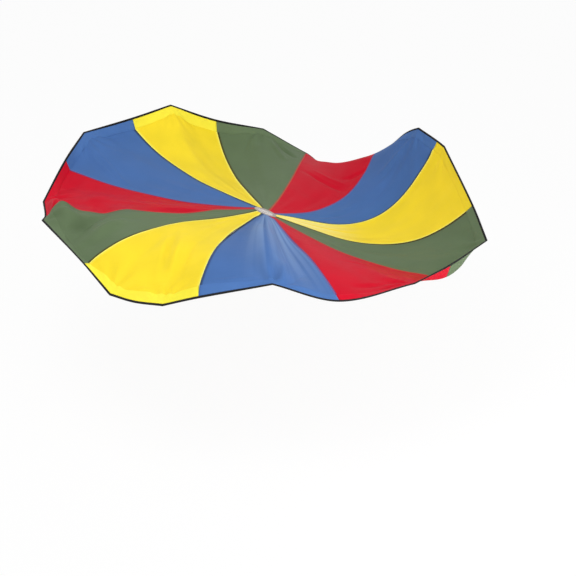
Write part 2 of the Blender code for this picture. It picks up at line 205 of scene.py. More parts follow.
# Each seam: its azimuth at the vent and at the hem, then as shares of the canopy's radius its reach and
# height at the hem, its heights at one and two thirds of the way out, and how far the hem tips up
SEAM_SHARES = (
    (250.0, 256.5, 0.955, 0.070, 0.035, 0.185, -0.020),
    (224.5, 226.3, 0.957, 0.047, 0.042, 0.187, 0.027),
    (195.5, 194.3, 0.895, 0.071, 0.030, 0.105, 0.000),
    (164.5, 162.3, 0.920, 0.092, -0.010, 0.015, 0.038),
    (132.5, 131.0, 0.955, 0.143, 0.010, -0.012, 0.030),
    (107.0, 105.0, 0.970, 0.061, -0.015, -0.105, 0.034),
    (74.5, 79.0, 0.940, -0.070, -0.045, -0.008, 0.000),
    (37.5, 55.5, 0.885, 0.036, -0.102, -0.155, 0.000),
    (24.0, 27.5, 0.835, 0.175, -0.098, -0.298, 0.000),
    (350.0, 351.3, 0.845, 0.080, -0.100, -0.225, 0.000),
    (317.0, 318.7, 0.950, -0.003, -0.065, -0.095, 0.042),
    (286.0, 286.9, 0.942, 0.028, 0.048, 0.085, 0.000),
)
# Where the hem is held or hangs between: turn, azimuth, reach, height, and 1 where it is drawn to a corner
HOLD_SHARES = (
    (0.30, 249.0, 0.970, 0.013, 1),
    (0.50, 243.0, 0.990, 0.015, 0),
    (0.72, 236.8, 0.990, 0.018, 1),
    (1.92, 197.5, 0.912, 0.076, 1),
    (2.35, 184.0, 0.903, 0.071, 1),
    (3.45, 147.0, 0.970, 0.165, 1),
    (4.45, 118.0, 0.965, 0.190, 1),
    (5.50, 91.5, 0.970, 0.035, 1),
    (6.25, 74.5, 0.920, -0.087, 0),
    (6.60, 66.0, 0.895, -0.050, 0),
    (7.35, 46.0, 0.862, 0.137, 0),
    (7.56, 41.0, 0.858, 0.167, 0),
    (7.65, 38.0, 0.852, 0.187, 1),
    (8.10, 23.5, 0.835, 0.168, 1),
    (9.55, 335.2, 0.945, 0.042, 1),
    (10.42, 305.5, 0.945, 0.034, 1),
    (11.47, 272.5, 0.885, 0.085, 1),
)
# How the vent leans, how far round a seam has swung at each third of it, and how the hem's pull fades inwards
VENT_FALL_SHARES = (-0.42, -0.16)
SWING_SHARES = (0.2, 0.6)
PULL_FADE = 3.0
# The hem tips up most midway between two held points, leaning in a little, and lies flat at each of them
HEM_LEAN_SHARE = 0.5
CALM_TURNS = 0.2
# The hem rolls down behind the crest at the back
CURL_TURNS = (6.0, 6.5, 7.2, 7.6)
CURL_START_SHARE = 0.91
HEM_CURL_DROP = 0.07
# Folds: start and end as turn and share of the way out, half width in metres, height as a share of it
FOLD_SHARES = (
    # the wave in the seam at the left, and the folds that run down from it
    (2.35, 1.00, 1.65, 0.89, 0.095, 1.05),
    (2.35, 0.80, 1.75, 0.70, 0.095, -0.30),
    (2.02, 0.20, 2.02, 0.62, 0.095, -0.40),
    (1.65, 0.80, 1.40, 0.98, 0.060, -0.35),
    (1.50, 0.74, 1.25, 0.96, 0.060, 0.30),
    (1.86, 0.72, 1.55, 0.94, 0.060, -0.80),
    (1.55, 0.66, 1.22, 0.90, 0.055, 0.75),
    (2.58, 0.95, 2.92, 0.87, 0.040, -0.30),
    (2.42, 0.82, 2.65, 0.68, 0.060, 0.20),
    # pulls from the held point at the upper left
    (3.41, 0.96, 3.05, 0.62, 0.020, 0.75),
    (3.31, 0.93, 3.11, 0.70, 0.018, 0.65),
    (3.36, 0.99, 3.16, 0.92, 0.018, 0.60),
    (3.58, 0.99, 3.88, 0.950, 0.018, 0.40),
    (3.72, 0.99, 3.97, 0.950, 0.015, 0.40),
    # pulls from the held point straight behind the vent
    (5.38, 0.98, 5.25, 0.78, 0.030, -0.30),
    (5.52, 0.98, 5.55, 0.78, 0.030, -0.30),
    (5.60, 0.99, 5.95, 0.80, 0.026, -1.25),
    (5.56, 0.96, 5.82, 0.72, 0.026, 0.85),
    (5.49, 0.99, 5.46, 0.84, 0.018, -0.70),
    # slack lines across the low gores at the back
    (6.05, 0.66, 6.97, 0.62, 0.035, -0.40),
    (6.20, 0.72, 6.90, 0.68, 0.030, 0.30),
    (6.70, 0.71, 7.02, 0.84, 0.030, -0.40),
    (7.22, 0.75, 7.58, 0.96, 0.035, 0.45),
    (7.33, 0.70, 7.50, 0.86, 0.030, -0.30),
    (7.60, 1.00, 8.00, 0.78, 0.060, 0.25),
    # the pouch behind the hem at the lower right, and pulls from the held point there
    (9.22, 0.935, 10.02, 0.930, 0.095, -0.28),
    (9.70, 0.925, 10.25, 0.925, 0.095, -0.15),
    (9.85, 0.95, 9.57, 0.99, 0.020, -0.30),
    (10.30, 0.70, 10.42, 0.92, 0.030, -0.30),
    (10.85, 0.90, 10.45, 0.93, 0.030, -0.35),
    (10.65, 0.60, 10.15, 0.68, 0.030, -0.25),
    # the fan between the vent and the held point in front: a broad ridge, a broad valley, small folds
    (11.54, 0.04, 11.47, 0.98, 0.095, 0.75),
    (11.16, 0.10, 11.20, 0.95, 0.095, -0.75),
    (11.62, 0.06, 11.50, 0.36, 0.028, -0.40),
    (11.33, 0.07, 11.41, 0.54, 0.017, 0.95),
    (11.07, 0.07, 11.37, 0.70, 0.019, 0.95),
    (11.26, 0.30, 11.20, 0.80, 0.030, 0.50),
    (11.50, 0.99, 11.54, 0.68, 0.024, 0.45),
    (11.44, 0.99, 11.42, 0.70, 0.020, -0.80),
    (11.40, 0.99, 11.28, 0.70, 0.022, 0.90),
    (11.37, 0.99, 11.18, 0.80, 0.022, -0.60),
    (11.97, 0.945, 11.55, 0.945, 0.020, 0.45),
    # long soft folds in the front left gore
    (1.00, 0.50, 0.36, 0.92, 0.045, 0.30),
    (0.98, 0.42, 0.30, 0.86, 0.040, 0.30),
    (0.70, 0.56, 0.36, 0.93, 0.024, -0.60),
    (0.58, 0.54, 0.29, 0.93, 0.026, 0.65),
    (0.36, 0.58, 0.22, 0.92, 0.030, -0.45),
    (0.72, 0.945, 0.10, 0.925, 0.020, -0.30),
)
SEAM_SAMPLES = 240


def place(azimuth, reach, height):
    """A point round the canopy's middle, from shares of its radius."""
    a = np.radians(azimuth)
    return np.stack([reach * np.cos(a), reach * np.sin(a), height + 0 * a], -1) * CANOPY_RADIUS


def vent_point(azimuth, radius):
    """A point on the leaning plane of the vent."""
    a = np.radians(azimuth)
    fall = VENT_FALL_SHARES[0] * np.cos(a) + VENT_FALL_SHARES[1] * np.sin(a)
    across = np.stack([np.cos(a), np.sin(a), fall], -1)
    return across / np.linalg.norm(across, axis=-1, keepdims=True) * radius


def seam_curve(row):
    """A seam from vent to hem, as points evenly spaced along its length."""
    near_azimuth, hem_azimuth, reach, height, near, far = row[:6]
    first, swing = VENT_RADIUS / CANOPY_RADIUS, hem_azimuth - near_azimuth
    start = vent_point(near_azimuth, VENT_RADIUS)
    one = place(near_azimuth + swing * SWING_SHARES[0], first + (reach - first) / 3, near)
    two = place(near_azimuth + swing * SWING_SHARES[1], first + (reach - first) * 2 / 3, far)
    end = place(hem_azimuth, reach, height)
    t = np.linspace(0, 1, SEAM_SAMPLES + 1)[:, None]
    points = start * (1 - t) ** 3 + one * 3 * t * (1 - t) ** 2 + two * 3 * t * t * (1 - t) + end * t**3
    steps = np.linalg.norm(np.diff(points, axis=0), axis=1)
    lengths = np.concatenate([[0], np.cumsum(steps)]) / steps.sum()
    return np.stack([np.interp(t[:, 0], lengths, points[:, k]) for k in range(3)], -1)


SEAMS = np.array([seam_curve(row) for row in SEAM_SHARES])
knots = [
    (i, azimuth, reach - HEM_LEAN_SHARE * abs(rise), height + rise, 0)
    for i, (_, azimuth, reach, height, _, _, rise) in enumerate(SEAM_SHARES)
]
knots = sorted([*knots, *HOLD_SHARES])
KNOT_TURNS = np.array([knot[0] for knot in knots], float)
KNOT_POINTS = np.array([place(*knot[1:4]) for knot in knots])
KNOT_HELD = np.array([knot[4] for knot in knots])


def between_seams(turn, out):
    """The smooth cloth that the seams carry."""
    i = np.floor(turn).astype(int)
    t = (turn - i)[..., None]
    k = np.clip((out * SEAM_SAMPLES).astype(int), 0, SEAM_SAMPLES - 1)
    part = (out * SEAM_SAMPLES - k)[..., None]
    before, here, there, after = (
        SEAMS[(i + n) % GORES, k] * (1 - part) + SEAMS[(i + n) % GORES, k + 1] * part for n in (-1, 0, 1, 2)
    )
    return (
        here * 2
        + (there - before) * t
        + (before * 2 - here * 5 + there * 4 - after) * t * t
        + (here * 3 - before - there * 3 + after) * t**3
    ) / 2


def hem_point(turn):
    """The hem's line: straight from one held point to the next, rounded where it hangs free."""
    count = len(KNOT_TURNS)
    turn = turn % GORES
    k = np.searchsorted(KNOT_TURNS, turn, side="right") - 1

    def knot(n):
        return KNOT_TURNS[(k + n) % count] + GORES * ((k + n) // count), KNOT_POINTS[(k + n) % count]

    (tz, z), (ta, a), (tb, b), (tc, c) = (knot(n) for n in (-1, 0, 1, 2))
    tz, ta, tb, tc, turn = (value[..., None] for value in (tz, ta, tb, tc, turn))
    chord = (b - a) / (tb - ta)
    leave = np.where(KNOT_HELD[k][..., None] == 1, chord, (b - z) / (tb - tz))
    arrive = np.where(KNOT_HELD[(k + 1) % count][..., None] == 1, chord, (c - a) / (tc - ta))
    t, span = (turn - ta) / (tb - ta), tb - ta
    return (
        a * (2 * t**3 - 3 * t * t + 1)
        + leave * span * (t**3 - 2 * t * t + t)
        + b * (3 * t * t - 2 * t**3)
        + arrive * span * (t**3 - t * t)
    )


def eased(t):
    """Rises smoothly from 0 to 1 as its value does."""
    t = np.clip(t, 0, 1)
    return t * t * (3 - 2 * t)


def run_share(length):
    """A length along a seam as a share of the way from the vent to the hem."""
    return length / (CANOPY_RADIUS - VENT_RADIUS)


HEM_START = 1 - run_share(HEM_WIDTH)


def hem_rise(turn):
    """How far the hem's band tips up and inwards, which it doesn't beside a held point."""
    i = np.floor(turn).astype(int)
    rises = np.array([row[6] for row in SEAM_SHARES])
    rise = rises[i % GORES] + (rises[(i + 1) % GORES] - rises[i % GORES]) * eased(turn - i)
    for hold, *_, held in HOLD_SHARES:
        if held:
            off = (turn - hold + GORES / 2) % GORES - GORES / 2
            rise = rise * (1 - np.exp(-((off / CALM_TURNS) ** 2)))
    rim = between_seams(turn, np.ones(np.shape(turn)))[..., :2]
    lean = np.abs(rise)[..., None] * HEM_LEAN_SHARE
    inward = -rim / np.linalg.norm(rim, axis=-1, keepdims=True) * lean
    return np.concatenate([inward, rise[..., None]], -1) * CANOPY_RADIUS


def flat_point(turn, out):
    """Where a point of the cloth lies on the cutting table."""
    radius = VENT_RADIUS + (CANOPY_RADIUS - VENT_RADIUS) * out
    angle = turn * (2 * math.pi / GORES)
    return np.stack([np.cos(angle) * radius, np.sin(angle) * radius], -1)


def folds(turn, out):
    """The height that the folds add. They fade out over the hem, which its rope keeps straight."""
    here = flat_point(turn, out)
    height = np.zeros(np.shape(turn))
    for turn_a, out_a, turn_b, out_b, width, share in FOLD_SHARES:
        a, b = flat_point(np.float64(turn_a), out_a), flat_point(np.float64(turn_b), out_b)
        run = b - a
        along = ((here - a) @ run) / (run @ run)
        off = np.linalg.norm(here - a - along[..., None] * run, axis=-1) / width
        height += width * share * np.sin(math.pi * np.clip(along, 0, 1)) * np.exp(-off * off)
    return height * eased((1 - out) / (1 - HEM_START))


# Small pulls that run out from each held point like the ribs of a fan
PULL_HEIGHT = 0.007
PULL_REACH = 0.26
PULL_RIBS = 9
PULL_PHASE = 1.7


def pulls(turn, out):
    here = flat_point(turn, out)
    height = np.zeros(np.shape(turn))
    for number, (hold, *_, held) in enumerate(HOLD_SHARES):
        if held:
            off = here - flat_point(np.float64(hold), 1.0)
            far = np.linalg.norm(off, axis=-1) / PULL_REACH
            angle = np.arctan2(off[..., 1], off[..., 0])
            ribs = np.sin(PULL_RIBS * angle + PULL_PHASE * number)
            height += PULL_HEIGHT * ribs * far * np.exp(1 - far * far * 2)
    return height * eased((1 - out) / (1 - HEM_START))


# Slack that the cloth carries everywhere as shallow ripples: how often each comes across and along a gore,
# its phase and its share of the height
RIPPLE_SHARES = ((3.1, 1.3, 0.4, 1.0), (5.3, -2.1, 2.2, 0.7), (7.9, 3.2, 4.1, 0.45), (1.7, 5.7, 0.9, 0.8))
RIPPLE_HEIGHT = 0.0022
RIPPLE_START_SHARE = 0.3


def ripples(turn, out):
    height = np.zeros(np.shape(turn))
    for across, along, phase, share in RIPPLE_SHARES:
        height += share * np.sin(2 * math.pi * (across * turn + along * out) / 2 + phase)
    return height * RIPPLE_HEIGHT * eased(out / RIPPLE_START_SHARE) * eased((1 - out) / (1 - HEM_START))


def curl(turn, out):
    """How far the hem has rolled down behind the crest at the back."""
    begin, full, ease, end = CURL_TURNS
    turn = turn % GORES
    part = eased((turn - begin) / (full - begin)) * eased((end - turn) / (end - ease))
    way = np.clip((out - CURL_START_SHARE) / (1 - CURL_START_SHARE), 0, None)
    return HEM_CURL_DROP * part * way * way


def cloth(turn, out):
    """Points on the middle of the cloth."""
    turn, out = np.broadcast_arrays(np.asarray(turn, float), np.asarray(out, float))
    rise = hem_rise(turn)
    pull = hem_point(turn) - between_seams(turn, np.ones(np.shape(turn))) - rise
    band = np.clip((out - HEM_START) / (1 - HEM_START), 0, None)[..., None]
    point = between_seams(turn, out) + pull * np.clip(out, 0, None)[..., None] ** PULL_FADE + rise * band
    lift = folds(turn, out) + pulls(turn, out) + ripples(turn, out) - curl(turn, out)
    return point + np.stack([0 * lift, 0 * lift, lift], -1) + np.array(VENT_CENTRE)


# How far off the cloth is probed for its directions, as a share of the way out and in turns
PROBE_OUT = 0.003
PROBE_TURN = 0.005


def cloth_frame(turn, out):
    """The points, the directions out towards the hem and the upper side's normals."""
    turn, out = np.broadcast_arrays(np.asarray(turn, float), np.asarray(out, float))
    outward = cloth(turn, np.clip(out + PROBE_OUT, 0, 1)) - cloth(turn, np.clip(out - PROBE_OUT, 0, 1))
    onward = cloth(turn + PROBE_TURN, out) - cloth(turn - PROBE_TURN, out)
    normal = np.cross(onward, outward)
    outward /= np.linalg.norm(outward, axis=-1, keepdims=True)
    normal /= np.linalg.norm(normal, axis=-1, keepdims=True)
    return cloth(turn, out), outward, normal


def gore_span(out):
    """How wide a gore is cut, at a share of the way out."""
    return (VENT_RADIUS + (CANOPY_RADIUS - VENT_RADIUS) * out) * 2 * math.pi / GORES


def new_piece(name, points, faces, cut, material):
    """A piece from its points and faces, with the places of its points on the cutting table."""
    mesh = bpy.data.meshes.new(name)
    mesh.from_pydata(points.tolist(), [], faces)
    mesh.materials.append(material)
    layer = mesh.uv_layers.new(name="cut")
    corners = np.empty(len(mesh.loops), int)
    mesh.loops.foreach_get("vertex_index", corners)
    layer.data.foreach_set("uv", cut[corners].ravel())
    mesh.shade_smooth()
    piece = bpy.data.objects.new(name, mesh)
    bpy.context.collection.objects.link(piece)
    return piece


def cloth_piece(name, turns, outs, low, high, cut, material):
    """A closed piece of cloth between two heights over the canopy, from rows and columns of turns."""
    outs = np.broadcast_to(np.asarray(outs)[:, None], turns.shape)
    point, _, normal = cloth_frame(turns, outs)
    rows, columns = turns.shape
    low, high = (np.broadcast_to(height, turns.shape)[..., None] for height in (low, high))
    points = np.concatenate([(point + normal * high).reshape(-1, 3), (point + normal * low).reshape(-1, 3)])
    k = np.arange(rows * columns).reshape(rows, columns)
    top = np.stack([k[:-1, :-1], k[1:, :-1], k[1:, 1:], k[:-1, 1:]], -1).reshape(-1, 4)
    under = top[:, ::-1] + rows * columns
    rim = np.concatenate([k[0, :-1], k[:-1, -1], k[-1, :0:-1], k[:0:-1, 0]])
    after = np.roll(rim, -1)
    side = np.stack([rim, after, after + rows * columns, rim + rows * columns], -1)
    faces = np.concatenate([top, under, side]).tolist()
    piece = new_piece(name, points, faces, np.concatenate([cut.reshape(-1, 2)] * 2), material)
    for edge_face in piece.data.polygons[len(top) * 2 :]:
        edge_face.use_smooth = False
    return piece


def gore_turns(gore, outs, count):
    """Columns of a gore at each row, the nearest moved to each held point so that its corner stays sharp."""
    shares = np.linspace(0, 1, count + 1)
    for hold, *_ in HOLD_SHARES:
        if gore < hold < gore + 1:
            shares[1 + np.argmin(np.abs(shares[1:-1] - (hold - gore)))] = hold - gore
    edge = (BUTT_GAP / 2 / gore_span(outs))[:, None]
    return gore + edge + shares[None, :] * (1 - 2 * edge)


def gore_cut(turns, outs, gore):
    """A gore's places on the cutting table: across from its middle line, and out from the canopy's middle."""
    outs = np.broadcast_to(np.asarray(outs)[:, None], turns.shape)
    span = gore_span(outs)
    return np.stack([(turns - gore - 0.5) * span, span * GORES / (2 * math.pi)], -1)


COLOURS = {
    "yellow": linear(0.970, 0.880, 0.200),
    "green": linear(0.410, 0.487, 0.357),
    "red": linear(0.815, 0.030, 0.160),
    "blue": linear(0.305, 0.460, 0.695),
}
COLOUR_ORDER = ("yellow", "green", "red", "blue")
WEAVE_PITCH = 0.0011
LIGHT_THROUGH = 0.24
# How near its edge, in metres, a gore starts and ends showing the painted shading beside a seam
PAINTED_SHADING_REACH = (0.011, 0.028)


def shaded(colour, share):
    """A colour made lighter or darker by a share."""
    return (*(min(c * share, 1.0) for c in colour[:3]), 1)


def cut_places(wire):
    """The places on the cutting table, both at once and one by one."""
    cut = wire.node("ShaderNodeUVMap", {"uv_map": "cut"})
    parts = wire.tree.nodes.new("ShaderNodeSeparateXYZ")
    wire.feed(parts, 0, cut)
    return cut, Wire(wire.tree, parts.outputs[0]), Wire(wire.tree, parts.outputs[1])


def nylon(name, colour, beside, amount, side, double_and_painted_share=1.0, sheen=None):
    """Thin woven nylon: a fine plain weave, soft crinkles, a slight sheen and light from behind, with painted
    shading beside the seams and, where given, painted highlight streaks.
    """
    made, wire, shader = new_finish(name)
    cut, across, along = cut_places(wire)
    clouds = cut.noise(0.35, 3.0)
    specks = cut.noise(0.012, 2.0)
    tone = (clouds * 0.75 + specks * 0.25).between(0.3, 0.7)
    # A random tone, made brighter by the given share, which on the hem is partly double cloth and partly
    # painted light
    plain = tone.mix(shaded(colour, 0.95 * double_and_painted_share), shaded(colour, 1.05 * double_and_painted_share))
    # Painted highlight: pale streaks that run out from the vent are painted into the colour, for taut cloth
    # catching the light
    if sheen:
        pale, fade, end, share = sheen
        angle = across / along
        rays = wire.node("ShaderNodeTexNoise", {"noise_dimensions": "1D"}, {"W": angle, "Scale": 22.0})
        painted_highlight_mask = (1 - along.between(*fade)) * (1 - angle.between(*end))
        plain = (rays.between(0.28, 0.60) * painted_highlight_mask * share).mix(plain, pale)
    # Painted shading beside the seams: darker painted shade on the green and blue gores, a paler painted
    # highlight on the yellow ones
    off_middle = across * side if side else across.maths("ABSOLUTE", across)
    painted_seam_mask = (1 - (along * (math.pi / GORES) - off_middle).between(*PAINTED_SHADING_REACH)) * amount
    wire.feed(shader, "Base Color", painted_seam_mask.mix(plain, beside))
    wire.feed(shader, "Roughness", 0.42 + clouds * 0.12)
    weave = across.wave(WEAVE_PITCH) * along.wave(WEAVE_PITCH)
    crinkle = cut.noise(0.055, 4.0, "RIDGED_MULTIFRACTAL")
    soft = cut.noise(0.16, 3.0)
    relief = weave.bump(0.0001, 0.35, crinkle.bump(0.0012, 0.30, soft.bump(0.010, 0.42)))
    wire.feed(shader, "Normal", relief)
    shader.inputs["Specular IOR Level"].default_value = 0.08
    shader.inputs["Sheen Weight"].default_value = 0.01
    shader.inputs["Sheen Roughness"].default_value = 0.4
    behind = wire.node("ShaderNodeBsdfTranslucent", None, {"Color": shaded(colour, 1.15)})
    front = Wire(wire.tree, shader.outputs[0])
    both = wire.node("ShaderNodeMixShader", None, {0: LIGHT_THROUGH, 1: front, 2: behind})
    wire.feed(wire.tree.nodes["Material Output"], "Surface", both)
    return made


# Painted shading just beside a yellow gore's seam, where the cloth puckers: painted shade on the green and
# blue gores, a painted highlight on the yellow ones. For each colour the painted tint, how strong it is, and
# on which side it lies, with 0 for both
PAINTED_SHADING_BY_SEAM = {
    "yellow": (linear(1.000, 0.960, 0.400), 0.5, 0),
    "green": (linear(0.260, 0.220, 0.050), 0.95, -1),
    "red": (linear(0.500, 0.090, 0.120), 0.0, 0),
    "blue": (linear(0.120, 0.150, 0.200), 0.6, 1),
}
NYLON = {name: nylon(f"{name}_nylon", colour, *PAINTED_SHADING_BY_SEAM[name]) for name, colour in COLOURS.items()}
# Two gores lie taut beside the vent, where a painted highlight runs out from it in streaks: the colour of the
# painted streaks, the distances from the middle and the angles between which they fade out, their strength
VENT_PAINTED_HIGHLIGHT = {
    8: (linear(1.000, 0.975, 0.690), (0.30, 0.90), (0.25, 0.30), 0.90),
    11: (linear(0.560, 0.680, 0.850), (0.60, 2.00), (0.00, 0.16), 0.75),
}
GORE_COLUMNS = 60
GORE_ROWS = 108
BAND_ROWS = 6
gore_outs = np.append(np.linspace(0, HEM_START, GORE_ROWS), np.linspace(HEM_START, 1, BAND_ROWS)[1:])
for gore in range(GORES):
    colour = COLOUR_ORDER[gore % len(COLOUR_ORDER)]
    turns = gore_turns(gore, gore_outs, GORE_COLUMNS)
    half = CLOTH_THICKNESS / 2
    cut = gore_cut(turns, gore_outs, gore)
    gore_nylon = NYLON[colour]
    if gore in VENT_PAINTED_HIGHLIGHT:
        name = f"{colour}_nylon_vent_painted_highlight"
        gore_nylon = nylon(name, COLOURS[colour], *PAINTED_SHADING_BY_SEAM[colour], sheen=VENT_PAINTED_HIGHLIGHT[gore])
    piece = cloth_piece(f"cloth_{gore + 1:02d}", turns, gore_outs, -half, half, cut, gore_nylon)
    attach(piece, "root")
    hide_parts(f"gore_{gore + 1:02d}_{colour}")

# Seams. Each is felled: one gore's edge is folded over its neighbour's and sewn down with two rows of
# thread, so the strip is double and shows paler. Along the covered edge it is painted dark, partly for that
# edge showing through and partly as painted shade.
SEAM_WIDTH = 0.016
SEAM_LIFT = 0.0007
SEAM_THICKNESS = 0.0005
SEAM_SWELL_HEIGHT = 0.0005
SEAM_COLUMNS = np.array([-1, -0.85, -0.5, -0.1, 0.1, 0.5, 0.85, 1])
SEAM_SWELL = np.array([0, 0.7, 1, 0.9, 0.9, 1, 0.7, 0]) * SEAM_SWELL_HEIGHT
SEAM_ROWS = 130
STITCH_OFF = 0.0055
STITCH_PITCH = 0.0036
THREAD_EDGE = (0.0003, 0.0007)
VENT_TAPE_OUTER_WIDTH = 0.010


def seam_finish(name, pale, dark, dark_side):
    """The felled strip: pale where the cloth is double, dark along the edge that it covers, partly painted
    shade.
    """
    made, wire, shader = new_finish(name)
    cut, across, along = cut_places(wire)
    across = across * dark_side
    edge = across.between(-0.0012, -0.0002)
    clouds = cut.noise(0.05, 2.0)
    body = clouds.mix(shaded(pale, 0.97), shaded(pale, 1.05))
    shade = clouds.mix(shaded(dark, 0.90), shaded(dark, 1.15))
    off = across.maths("ABSOLUTE", across) - STITCH_OFF
    thread = 1 - off.maths("ABSOLUTE", off).between(*THREAD_EDGE)
    stitch = thread * along.wave(STITCH_PITCH).between(-0.5, 0.0)
    # Painted shade: the dark edge is partly the covered edge showing through and partly painted shade
    toned = edge.mix(body, shade)
    wire.feed(shader, "Base Color", (stitch * 0.4).mix(toned, shaded(pale, 0.72)))
    wire.feed(shader, "Roughness", 0.5 + clouds * 0.1)
    weave = across.wave(WEAVE_PITCH) * along.wave(WEAVE_PITCH)
    relief = stitch.bump(0.0004, 0.5, weave.bump(0.0001, 0.35, clouds.bump(0.002, 0.3)))
    wire.feed(shader, "Normal", relief)
    shader.inputs["Specular IOR Level"].default_value = 0.15
    return made


# What a seam shows between two colours: its pale double cloth, and the dark edge that it covers, partly
# painted shade
SEAM_SHADES = {
    ("blue", "yellow"): (linear(1.000, 0.960, 0.430), linear(0.110, 0.140, 0.150)),
    ("yellow", "green"): (linear(1.000, 0.960, 0.430), linear(0.240, 0.200, 0.030)),
    ("green", "red"): (linear(0.700, 0.300, 0.200), linear(0.500, 0.330, 0.250)),
    ("red", "blue"): (linear(0.440, 0.400, 0.620), linear(0.370, 0.230, 0.420)),
}
seam_start, seam_end = run_share(VENT_TAPE_OUTER_WIDTH + BUTT_GAP), HEM_START - run_share(BUTT_GAP)
seam_outs = np.linspace(seam_start, seam_end, SEAM_ROWS)
seam_finishes = {}
for seam in range(GORES):
    first, second = (COLOUR_ORDER[gore % len(COLOUR_ORDER)] for gore in (seam - 1, seam))
    top = "yellow" if "yellow" in (first, second) else second
    if (first, second) not in seam_finishes:
        pale, dark = SEAM_SHADES[first, second]
        dark_side = 1 if top == first else -1
        seam_finishes[first, second] = seam_finish(f"felled_{first}_{second}", pale, dark, dark_side)
    half = SEAM_WIDTH / 2 / gore_span(seam_outs)[:, None]
    turns = seam + SEAM_COLUMNS[None, :] * half
    across = np.broadcast_to(SEAM_COLUMNS * SEAM_WIDTH / 2, turns.shape)
    radius = np.broadcast_to((gore_span(seam_outs) * GORES / (2 * math.pi))[:, None], turns.shape)
    cut = np.stack([across, radius], -1)
    high = SEAM_LIFT + SEAM_THICKNESS + SEAM_SWELL
    finish = seam_finishes[first, second]
    piece = cloth_piece(f"felled_seam_{seam + 1:02d}", turns, seam_outs, SEAM_LIFT, high, cut, finish)
    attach(piece, "root")
    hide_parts(f"seam_{seam + 1:02d}_{first}_{second}")

# Hem. Each gore's own edge is turned over once and sewn down, so the band is double and stands at its own
# angle.
# Its colour is painted a little brighter, partly for the double cloth and partly as painted light. Its folded
# inner edge shows as a fine line.
HEM_LIFT = 0.0009
HEM_EDGE_LIFT = 0.0004
HEM_ROW_SHARES = np.array([0, 0.03, 0.2, 0.4, 0.6, 0.8, 1])
# Painted light: the hem's colour is made brighter by this share, partly for its double cloth and partly
# painted light
HEM_DOUBLE_AND_PAINTED_LIGHT = 1.12
# The yellow hem's colour is paler still, a painted highlight
HEM_COLOURS = {**COLOURS, "yellow": linear(0.980, 0.910, 0.265)}
HEM_NYLON = {
    name: nylon(f"{name}_hem", colour, colour, 0.0, 0, HEM_DOUBLE_AND_PAINTED_LIGHT) for name, colour in HEM_COLOURS.items()
}
# The yellow hem on the right lies duller in the light, so it gets less painted light and shows hardly paler
# than its gore
DIM_HEM_GORE = 8
DIM_HEM_DOUBLE_AND_PAINTED_LIGHT = 1.04
DIM_HEM_NYLON = nylon("yellow_dim_hem", COLOURS["yellow"], COLOURS["yellow"], 0.0, 0, DIM_HEM_DOUBLE_AND_PAINTED_LIGHT)
hem_outs = HEM_START + HEM_ROW_SHARES * (1 - HEM_START)
hem_low = np.where(hem_outs > HEM_START, HEM_LIFT, HEM_EDGE_LIFT)[:, None]
for gore in range(GORES):
    colour = COLOUR_ORDER[gore % len(COLOUR_ORDER)]
    turns = gore_turns(gore, hem_outs, GORE_COLUMNS)
    cut = gore_cut(turns, hem_outs, gore)
    high = hem_low + CLOTH_THICKNESS
    hem_nylon = DIM_HEM_NYLON if gore == DIM_HEM_GORE else HEM_NYLON[colour]
    piece = cloth_piece(f"turned_hem_{gore + 1:02d}", turns, hem_outs, hem_low, high, cut, hem_nylon)
    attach(piece, "root")
    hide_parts(f"hem_{gore + 1:02d}_{colour}")

# Edge tape. A narrow black woven tape is folded over the hem's edge and over the rope that lies outside
# it, and is sewn down through the hem on both sides.
ROPE_RADIUS = 0.00275
ROPE_GAP = 0.0003
TAPE_ROPE_GAP = 0.0004
TAPE_CLOTH_GAP = 0.0003
TAPE_THICKNESS = 0.001
TAPE_FLANGE = 0.008
TAPE_WRAP = math.radians(125)
TAPE_SIDES = 14
TAPE_COLUMNS = 60
TAPE_RIB = 0.0016
TAPE_STITCH_OFF = 0.0125
TAPE_STITCH_PITCH = 0.004


def band(name, sections, cut, material):
    """A closed band from its cross-sections, all with the same number of points."""
    count, sides = sections.shape[:2]
    k = np.arange(count * sides).reshape(count, sides)
    there, beside, beyond = np.roll(k, -1, 0), np.roll(k, -1, 1), np.roll(np.roll(k, -1, 0), -1, 1)
    faces = np.stack([k, there, beyond, beside], -1).reshape(-1, 4).tolist()
    return new_piece(name, sections.reshape(-1, 3), faces, cut.reshape(-1, 2), material)


def facing_out(piece):
    """Turns a closed piece's faces outwards."""
    shell = bmesh.new()
    shell.from_mesh(piece.data)
    bmesh.ops.recalc_face_normals(shell, faces=shell.faces[:])
    shell.to_mesh(piece.data)
    shell.free()


at_hem = np.array([1.0])
stations = np.concatenate([gore_turns(gore, at_hem, TAPE_COLUMNS)[0, :-1] for gore in range(GORES)])
edge, edge_outward, edge_normal = cloth_frame(stations, at_hem)
middle = edge + edge_outward * (ROPE_RADIUS + ROPE_GAP)
steps = np.linalg.norm(np.diff(np.concatenate([edge, edge[:1]]), axis=0), axis=1)
round_hem = np.concatenate([[0], np.cumsum(steps)[:-1]])


def rope_circle(radius, angles):
    """Points round the rope's middle, at each place along the hem."""
    outward, up = edge_outward[:, None], edge_normal[:, None]
    return middle[:, None] + (outward * np.cos(angles)[:, None] + up * np.sin(angles)[:, None]) * radius


def flange_row(distance, height):
    """Points over the hem, at a distance in from its edge."""
    point, _, normal = cloth_frame(stations, 1 - run_share(distance))
    return (point + normal * height)[:, None]


